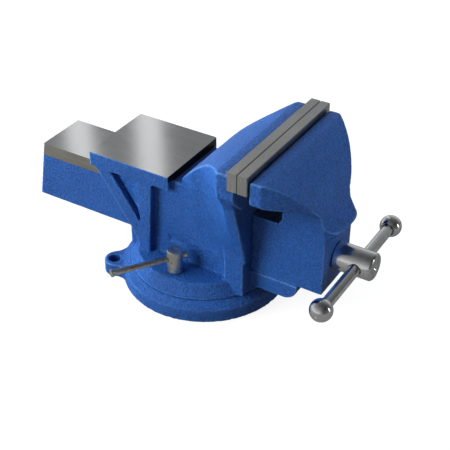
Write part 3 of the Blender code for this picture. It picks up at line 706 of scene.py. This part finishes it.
def make_movable_jaw():
    """The movable jaw casting, with the slide's top and the bands on its sides milled."""
    jaw = cast("movable_jaw_casting", "movable_jaw",
               lambda co: abs(co.z - SLIDE_TOP) < SAME_LEVEL and co.x < SLIDE_FRONT + SAME_PLACE)
    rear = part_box("movable_jaw")[0].x - AIR
    beside = SLIDE_HALF + 2 * AIR
    cut(jaw, box_cutter((rear, -beside, SLIDE_TOP), (SLIDE_FRONT, beside, SLIDE_TOP + AIR)),
        MILLED_STEEL)
    for side in (-1, 1):
        inner = side * (SLIDE_HALF - BAND_STEP)
        outer = side * beside
        cut(jaw, box_cutter((rear, min(inner, outer), SLIDE_TOP - BAND_HEIGHT),
                            (BAND_FRONT, max(inner, outer), SLIDE_TOP + AIR)), BAND_STEEL)
    shade_casting(jaw)
    install(jaw, None, "blue_paint", "movable_jaw", "movable_jaw")


def make_base():
    """The base casting, painted all over."""
    base = cast("base_casting", "swivel_base")
    shade_casting(base)
    install(base, None, "blue_paint", "swivel_base", "swivel_base")


# ---------------------------------------------------------------- jaw plates

def tooth_depth(y, z, half_y, low_z, high_z):
    """Depth of the crossed grooves at a place on a gripping face."""
    margin = min(half_y - abs(y), z - low_z, high_z - z)
    if margin < TOOTH_BORDER:
        return 0.0
    deepest = 0.0
    for along in (y + z, y - z):
        gap = abs((along / TOOTH_PITCH) % 1.0 - 0.5) * TOOTH_PITCH
        deepest = max(deepest, 1.0 - gap / TOOTH_GROOVE)
    return deepest * TOOTH_DEPTH


def rectangle_ring(columns, rows):
    """Grid places around the border of a grid, in order."""
    ring = [(i, 0) for i in range(columns)]
    ring += [(columns, j) for j in range(rows)]
    ring += [(i, rows) for i in range(columns, 0, -1)]
    ring += [(0, j) for j in range(rows, 0, -1)]
    return ring


def serrated_block(low, high, front, back, facing):
    """A chamfered block with crossed teeth on its front face."""
    half = high.y
    inner_half = half - PLATE_CHAMFER
    inner_low = low.z + PLATE_CHAMFER
    inner_high = high.z - PLATE_CHAMFER
    columns = round(2 * inner_half / PLATE_GRID)
    rows = round((inner_high - inner_low) / PLATE_GRID)

    def inset(i, j):
        """Place (y, z) of a grid corner on the face inside the chamfer."""
        return (-inner_half + 2 * inner_half * i / columns,
                inner_low + (inner_high - inner_low) * j / rows)

    def full(i, j):
        """Place (y, z) of a grid corner on the plate's full outline."""
        return -half + 2 * half * i / columns, low.z + (high.z - low.z) * j / rows

    bm = bmesh.new()
    grid = {}
    for i in range(columns + 1):
        for j in range(rows + 1):
            y, z = inset(i, j)
            depth = tooth_depth(y, z, half, low.z, high.z)
            grid[i, j] = bm.verts.new((front - facing * depth, y, z))
    for i in range(columns):
        for j in range(rows):
            bm.faces.new((grid[i, j], grid[i + 1, j], grid[i + 1, j + 1], grid[i, j + 1]))
    border = rectangle_ring(columns, rows)
    ring = [grid[place] for place in border]
    for x, outline in ((front - facing * PLATE_CHAMFER, full),
                       (back + facing * PLATE_CHAMFER, full),
                       (back, inset)):
        following = [bm.verts.new((x, *outline(i, j))) for i, j in border]
        for k in range(len(ring)):
            m = (k + 1) % len(ring)
            bm.faces.new((ring[k], ring[m], following[m], following[k]))
        ring = following
    bm.faces.new(ring)
    return bm


def make_plate(name, node, body, facing):
    """A jaw plate with a serrated face; facing is +1 on the fixed jaw and -1 on the other."""
    low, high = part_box(node)
    front, back = (high.x, low.x) if facing > 0 else (low.x, high.x)
    plate = add_object(name, mesh_from_bmesh(name, serrated_block(low, high, front, back, facing)))
    screw_low, screw_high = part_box("fixed_jaw_screw_near")
    screw_z = (screw_low.z + screw_high.z) / 2
    for side in (-1, 1):
        y = side * PLATE_SCREW_Y
        cut(plate, cone_cutter((front + facing * AIR, y, screw_z), (back - facing * AIR, y, screw_z),
                               SCREW_HOLE_RADIUS, SCREW_HOLE_RADIUS))
        cut(plate, cone_cutter((front + facing * SINK_LEAD, y, screw_z),
                               (front - facing * SINK_DEPTH, y, screw_z),
                               SINK_RADIUS, SINK_END_RADIUS))
    shade(plate)
    install(plate, PLATE_STEEL, "ground_steel", body, node)


# ---------------------------------------------------------------- spindle and handle

def thread_share(x, angle):
    """How deep the thread is cut at a place, from 0 on the crest to 1 in the root."""
    phase = (x / THREAD_PITCH - angle / (2 * math.pi)) % 1.0
    flank = THREAD_ROOT - THREAD_CREST
    if phase < THREAD_CREST:
        share = 0.0
    elif phase < THREAD_ROOT:
        share = (phase - THREAD_CREST) / flank
    elif phase < 1.0 - flank:
        share = 1.0
    else:
        share = (1.0 - phase) / flank
    return share


def spindle_stations(rear, end, head_radius):
    """Sections of the spindle from its tip to its head, as (x, radius, share of thread depth)."""
    stations = [(rear, JOURNAL_RADIUS - TIP_CHAMFER, 0.0), (rear + TIP_CHAMFER, JOURNAL_RADIUS, 0.0)]
    count = round((THREAD_END - rear - 2 * TIP_CHAMFER) / THREAD_STEP)
    for i in range(count):
        x = rear + TIP_CHAMFER + TIP_LAND + THREAD_STEP * i
        fade = min((x - rear) / THREAD_FADE, (THREAD_END - x) / THREAD_FADE, 1.0)
        stations.append((x, JOURNAL_RADIUS, max(fade, 0.0)))
    shoulder = SPINDLE_HEAD_START
    head = eased([
        (JOURNAL_RADIUS, THREAD_END),
        (JOURNAL_RADIUS, shoulder),
        (head_radius - SPINDLE_HEAD_REAR_CHAMFER, shoulder),
        (head_radius, shoulder + SPINDLE_HEAD_REAR_CHAMFER),
        (head_radius, end - SPINDLE_HEAD_END_CHAMFER),
        (head_radius - SPINDLE_HEAD_END_CHAMFER, end),
        (CENTRE_RADIUS, end),
        (CENTRE_SEAT_RADIUS, end - CENTRE_SEAT_DEPTH),
        (0.0, end - CENTRE_DEPTH)], SPINDLE_EASE)
    return stations + [(x, radius, 0.0) for radius, x in head[:-1]]


def make_lead_screw():
    """The spindle: a threaded screw, a plain journal and a head with a cross hole."""
    low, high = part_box("lead_screw")
    axis_z = (low.z + high.z) / 2
    head_radius = (high.z - low.z) / 2
    bar_low, bar_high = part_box("handle_bar")
    handle_x = (bar_low.x + bar_high.x) / 2
    hole_radius = (bar_high.x - bar_low.x) / 2 + HANDLE_HOLE_GAP

    bm = bmesh.new()
    rings = []
    for x, radius, depth in spindle_stations(low.x, high.x, head_radius):
        ring = []
        for k in range(SPINDLE_SEGMENTS):
            angle = 2 * math.pi * k / SPINDLE_SEGMENTS
            r = radius - THREAD_DEPTH * depth * thread_share(x, angle)
            ring.append(bm.verts.new((x, -r * math.sin(angle), axis_z + r * math.cos(angle))))
        rings.append(ring)
    for left, right in zip(rings, rings[1:]):
        for k in range(SPINDLE_SEGMENTS):
            m = (k + 1) % SPINDLE_SEGMENTS
            bm.faces.new((left[k], left[m], right[m], right[k]))
    bm.faces.new(rings[0])
    tip = bm.verts.new((high.x - CENTRE_DEPTH, 0.0, axis_z))
    for k in range(SPINDLE_SEGMENTS):
        bm.faces.new((rings[-1][k], rings[-1][(k + 1) % SPINDLE_SEGMENTS], tip))
    screw = add_object("spindle_screw", mesh_from_bmesh("spindle_screw", bm))

    cut_hole(screw, (handle_x, -head_radius, axis_z), (handle_x, head_radius, axis_z),
             hole_radius, HANDLE_HOLE_CHAMFER)
    shade(screw, SHARP_TURNED)
    install(screw, SPINDLE_STEEL, "bright_steel", "spindle", "lead_screw")


def knob_profile(ball, bore):
    """A ball with a chamfered bore that ends inside it, and a small dimple at its outer end."""
    start = math.asin((bore + KNOB_MOUTH_LIP) / ball)
    mouth = ball * math.cos(start)
    bore_end = ball * KNOB_BORE_END
    profile = [(0.0, bore_end), (bore, bore_end), (bore, mouth - KNOB_MOUTH_DEPTH),
               (bore + KNOB_MOUTH_CHAMFER, mouth)]
    for i in range(KNOB_STEPS + 1):
        angle = start + (KNOB_ROUND_END - start) * i / KNOB_STEPS
        profile.append((ball * math.sin(angle), ball * math.cos(angle)))
    profile += [(KNOB_DIMPLE_RADIUS, KNOB_DIMPLE_EDGE - ball), (0.0, KNOB_DIMPLE_DEPTH - ball)]
    return profile


def make_handle():
    """The sliding handle: a bar with a ball on each end."""
    low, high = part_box("handle_bar")
    radius = (high.x - low.x) / 2
    centre = Vector(((low.x + high.x) / 2, 0.0, (low.z + high.z) / 2))
    along_y = Matrix.Translation(centre) @ Matrix.Rotation(-math.pi / 2, 4, "X")
    outline = [(0.0, low.y), (radius, low.y), (radius, high.y), (0.0, high.y)]
    bar = revolve("handle_rod", eased(outline, HANDLE_BAR_EASE), SPINDLE_SEGMENTS)
    bar.data.transform(along_y)
    shade(bar)
    install(bar, HANDLE_STEEL, "bright_steel", "handle", "handle_bar")

    for tag, inwards in (("near", 1), ("far", -1)):
        low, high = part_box("handle_ball_" + tag)
        middle = (low.y + high.y) / 2
        profile = knob_profile((high.x - low.x) / 2, radius + KNOB_BORE_GAP)
        knob = revolve("handle_knob_" + tag, profile, KNOB_SEGMENTS)
        turn = Matrix.Rotation(-math.pi / 2 * inwards, 4, "X")
        knob.data.transform(Matrix.Translation((centre.x, middle, centre.z)) @ turn)
        shade(knob)
        install(knob, HANDLE_STEEL, "bright_steel", "handle", "handle_ball_" + tag)


# ---------------------------------------------------------------- swivel locks

def lock_heading(tag):
    """Direction of a lock bar away from its bolt, from the slide joint of the frame."""
    joint = next(j for j in frame["joints"] if j["name"] == "lock_%s_slide" % tag)
    return Vector(joint["axis"]).normalized()


def make_lock_bolt(tag):
    """A lock bolt: a round head with a cross hole for its bar, on a plain shank."""
    node = "lock_bolt_" + tag
    low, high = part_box(node)
    bar_low, bar_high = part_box("lock_bar_" + tag)
    radius = (high.x - low.x) / 2
    bolt = revolve("lock_screw_" + tag, eased([
        (0.0, low.z),
        (LOCK_SHANK_RADIUS, low.z),
        (LOCK_SHANK_RADIUS, LOCK_SEAT),
        (radius - LOCK_WAIST, LOCK_SEAT),
        (radius - LOCK_WAIST, LOCK_SEAT + LOCK_WAIST_TOP),
        (radius - LOCK_GROOVE_DEPTH, LOCK_SEAT + LOCK_GROOVE),
        (radius, LOCK_SEAT + LOCK_GROOVE_TOP),
        (radius, high.z - LOCK_TOP_CHAMFER),
        (radius - LOCK_TOP_CHAMFER, high.z),
        (LOCK_DIMPLE_RADIUS, high.z),
        (LOCK_DIMPLE_FLOOR_RADIUS, high.z - LOCK_DIMPLE_FLOOR_DEPTH),
        (0.0, high.z - LOCK_DIMPLE_DEPTH)], LOCK_EASE), LOCK_BOLT_SEGMENTS)
    middle = Vector(((low.x + high.x) / 2, (low.y + high.y) / 2, (bar_low.z + bar_high.z) / 2))
    bolt.data.transform(Matrix.Translation((middle.x, middle.y, 0.0)))
    across = lock_heading(tag) * radius
    cut_hole(bolt, middle - across, middle + across, LOCK_HOLE_RADIUS, LOCK_HOLE_CHAMFER)
    shade(bolt, SHARP_TURNED)
    install(bolt, ZINC, "zinc_steel", node, node)


def make_lock_bar(tag):
    """The bar of a lock bolt, swaged at both ends so that it can't drop out."""
    node = "lock_bar_" + tag
    low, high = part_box(node)
    bolt_low, bolt_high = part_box("lock_bolt_" + tag)
    centre = Vector(((bolt_low.x + bolt_high.x) / 2, (bolt_low.y + bolt_high.y) / 2,
                     (low.z + high.z) / 2))
    swage = (high.z - low.z) / 2
    near = LOCK_BAR_NEAR
    far = LOCK_BAR_FAR
    bar = revolve("lock_lever_" + tag, eased([
        (0.0, near),
        (swage - LOCK_BAR_CHAMFER_DEPTH, near),
        (swage, near + LOCK_BAR_CHAMFER),
        (swage, near + LOCK_BAR_NEAR_SWAGE),
        (LOCK_BAR_RADIUS, near + LOCK_BAR_NEAR_NECK),
        (LOCK_BAR_RADIUS, far - LOCK_BAR_FAR_NECK),
        (swage, far - LOCK_BAR_FAR_SWAGE),
        (swage, far - LOCK_BAR_CHAMFER),
        (swage - LOCK_BAR_CHAMFER_DEPTH, far),
        (LOCK_BAR_DIMPLE_RADIUS, far),
        (0.0, far - LOCK_BAR_DIMPLE_DEPTH)], LOCK_EASE), LOCK_BAR_SEGMENTS)
    turn = lock_heading(tag).to_track_quat("Z", "Y").to_matrix().to_4x4()
    bar.data.transform(Matrix.Translation(centre) @ turn)
    shade(bar)
    install(bar, ZINC, "zinc_steel", node, node)


# ---------------------------------------------------------------- carried-over nodes

def finish_node(node, material, width):
    """A CAD node that stays, with eased edges and a real material."""
    obj = frame["nodes"][node]
    weld = obj.modifiers.new("weld", "WELD")
    weld.merge_threshold = WELD_DISTANCE
    ease = obj.modifiers.new("ease", "BEVEL")
    ease.width = width
    ease.segments = 2
    ease.limit_method = "ANGLE"
    ease.angle_limit = EASED_FROM
    ease.harden_normals = True
    obj.data.materials.clear()
    obj.data.materials.append(material)


# ---------------------------------------------------------------- studio

def add_area_light(name, place, target, width, height, power, colour=WHITE):
    """A rectangular light that faces its target and can't be seen by the camera itself."""
    light = bpy.data.lights.new(name, "AREA")
    light.shape = "RECTANGLE"
    light.size = width
    light.size_y = height
    light.energy = power
    light.color = colour
    obj = bpy.data.objects.new(name, light)
    bpy.context.scene.collection.objects.link(obj)
    obj.location = place
    obj.rotation_euler = (Vector(target) - Vector(place)).to_track_quat("-Z", "Y").to_euler()
    obj.visible_camera = False
    return obj


def make_floor():
    """A pale paper floor, a hair below the base."""
    mesh = bpy.data.meshes.new("floor")
    half = FLOOR_HALF
    corners = [(-half, -half, 0), (half, -half, 0), (half, half, 0), (-half, half, 0)]
    mesh.from_pydata(corners, [], [(0, 1, 2, 3)])
    floor = add_object("floor", mesh)
    material, tree, shader = new_material("pale_floor", 0.0)
    paper = ramp(tree, noise_value(tree, 12.0, detail=3.0),
                 (0.3, FLOOR_TONE - FLOOR_MOTTLE), (0.7, FLOOR_TONE + FLOOR_MOTTLE))
    tree.links.new(paper, shader.inputs["Base Color"])
    shader.inputs["Roughness"].default_value = 0.9
    shader.inputs["Specular IOR Level"].default_value = 0.1
    shader.inputs["Emission Color"].default_value = (*WHITE, 1.0)
    rays = add_node(tree, "ShaderNodeLightPath")
    lift = add_node(tree, "ShaderNodeMath", {"operation": "MULTIPLY"})
    tree.links.new(rays.outputs["Is Camera Ray"], lift.inputs[0])
    lift.inputs[1].default_value = FLOOR_LIFT
    tree.links.new(lift.outputs["Value"], shader.inputs["Emission Strength"])
    mesh.materials.append(material)
    floor.location.z = -FLOOR_DROP


def make_world():
    """White behind the object, and a darker studio in its reflections."""
    world = bpy.data.worlds.new("studio")
    world.use_nodes = True
    bpy.context.scene.world = world
    tree = world.node_tree
    tree.nodes.clear()
    rays = add_node(tree, "ShaderNodeLightPath")
    white = add_node(tree, "ShaderNodeBackground", Color=(*WHITE, 1.0), Strength=1.0)
    place = add_node(tree, "ShaderNodeTexCoord")
    parts = add_node(tree, "ShaderNodeSeparateXYZ", Vector=place.outputs["Generated"])
    dome = ramp(tree, parts.outputs["Z"], (0.0, (0.72, 0.75, 0.78)), (0.28, (0.50, 0.52, 0.54)),
                (0.57, (0.28, 0.29, 0.30)), (1.0, (0.07, 0.075, 0.08)))
    dimmer = ramp(tree, parts.outputs["X"], (0.0, 0.92), (0.7, 0.16))
    dome = mix_colour(tree, 1.0, dome, dimmer, "MULTIPLY")
    room = add_node(tree, "ShaderNodeBackground", Color=dome, Strength=1.0)
    mix = add_node(tree, "ShaderNodeMixShader", Fac=rays.outputs["Is Camera Ray"])
    tree.links.new(room.outputs["Background"], mix.inputs[1])
    tree.links.new(white.outputs["Background"], mix.inputs[2])
    output = add_node(tree, "ShaderNodeOutputWorld")
    tree.links.new(mix.outputs["Shader"], output.inputs["Surface"])


def make_camera():
    """The camera, ahead of the vise's near side and looking down on it."""
    data = bpy.data.cameras.new("camera")
    data.lens = CAMERA_LENS
    data.sensor_width = CAMERA_SENSOR
    data.clip_start = CAMERA_NEAR
    data.clip_end = CAMERA_FAR
    camera = bpy.data.objects.new("camera", data)
    bpy.context.scene.collection.objects.link(camera)
    camera.location = CAMERA_PLACE
    turn = Matrix.Rotation(CAMERA_HEADING, 3, "Z") @ Matrix.Rotation(CAMERA_TILT, 3, "X")
    camera.rotation_euler = (turn @ Matrix.Rotation(CAMERA_ROLL, 3, "Z")).to_euler()
    bpy.context.scene.camera = camera


def add_strip(name, offset):
    """A tall strip light behind the vise, as a bright band in its level milled faces.

    offset is its angle in degrees to the left of the camera's heading.
    """
    heading = CAMERA_HEADING + math.radians(offset)
    away = Vector((-math.sin(heading), math.cos(heading), 0.0))
    place = Vector((CAMERA_PLACE.x, CAMERA_PLACE.y, 0.0)) + away * STRIP_DISTANCE
    place.z = STRIP_HEIGHT
    add_area_light(name, place, STRIP_TARGET, STRIP_WIDTH, STRIP_LENGTH, STRIP_POWER)


def make_lights():
    """Three soft lights without reflections, two that only make glints, and two strips."""
    target = LIGHT_TARGET
    key = add_area_light("key", KEY_PLACE, target, 0.9, 0.9, 26.5, (1.0, 1.0, 0.97))
    key.visible_glossy = False
    key_glint = add_area_light("key_glint", KEY_PLACE, target, 0.6, 0.6, 5.0)
    key_glint.visible_diffuse = False
    rear = add_area_light("rear", (-1.5, 0.15, 0.27), target, 0.9, 0.3, 40.0, (0.88, 1.0, 0.94))
    rear.visible_glossy = False
    side = add_area_light("side", (1.0, 0.32, 0.8), target, 0.5, 0.5, 7.5)
    side.visible_glossy = False
    glint = add_area_light("glint", (1.4, 0.47, 0.35), target, 0.22, 0.6, 1.6)
    glint.visible_diffuse = False
    add_strip("strip_left", 9.3)
    add_strip("strip_right", 4.9)


# ---------------------------------------------------------------- assembly

make_body()
make_movable_jaw()
make_base()
make_plate("fixed_plate", "fixed_jaw_plate", "vise_body", 1)
make_plate("movable_plate", "movable_jaw_plate", "movable_jaw", -1)
make_lead_screw()
make_handle()
for lock in ("near", "far"):
    make_lock_bolt(lock)
    make_lock_bar(lock)
    finish_node("clamp_nut_" + lock, BLACK_OXIDE, 0.3 * MM)
    finish_node("fixed_jaw_screw_" + lock, BLACK_OXIDE, 0.15 * MM)
    finish_node("movable_jaw_screw_" + lock, BLACK_OXIDE, 0.15 * MM)
finish_node("thrust_washer", BLACK_OXIDE, 0.2 * MM)
finish_node("retaining_collar", BLACK_OXIDE, 0.4 * MM)
finish_node("collar_pin", SPINDLE_STEEL, 0.2 * MM)
finish_node("lead_nut", CAST_IRON, 0.6 * MM)
finish_node("nut_bolt", BLACK_OXIDE, 0.3 * MM)
finish_node("nut_bolt_washer", ZINC, 0.15 * MM)

make_floor()
make_world()
make_camera()
make_lights()
bpy.context.scene.view_settings.view_transform = "Standard"
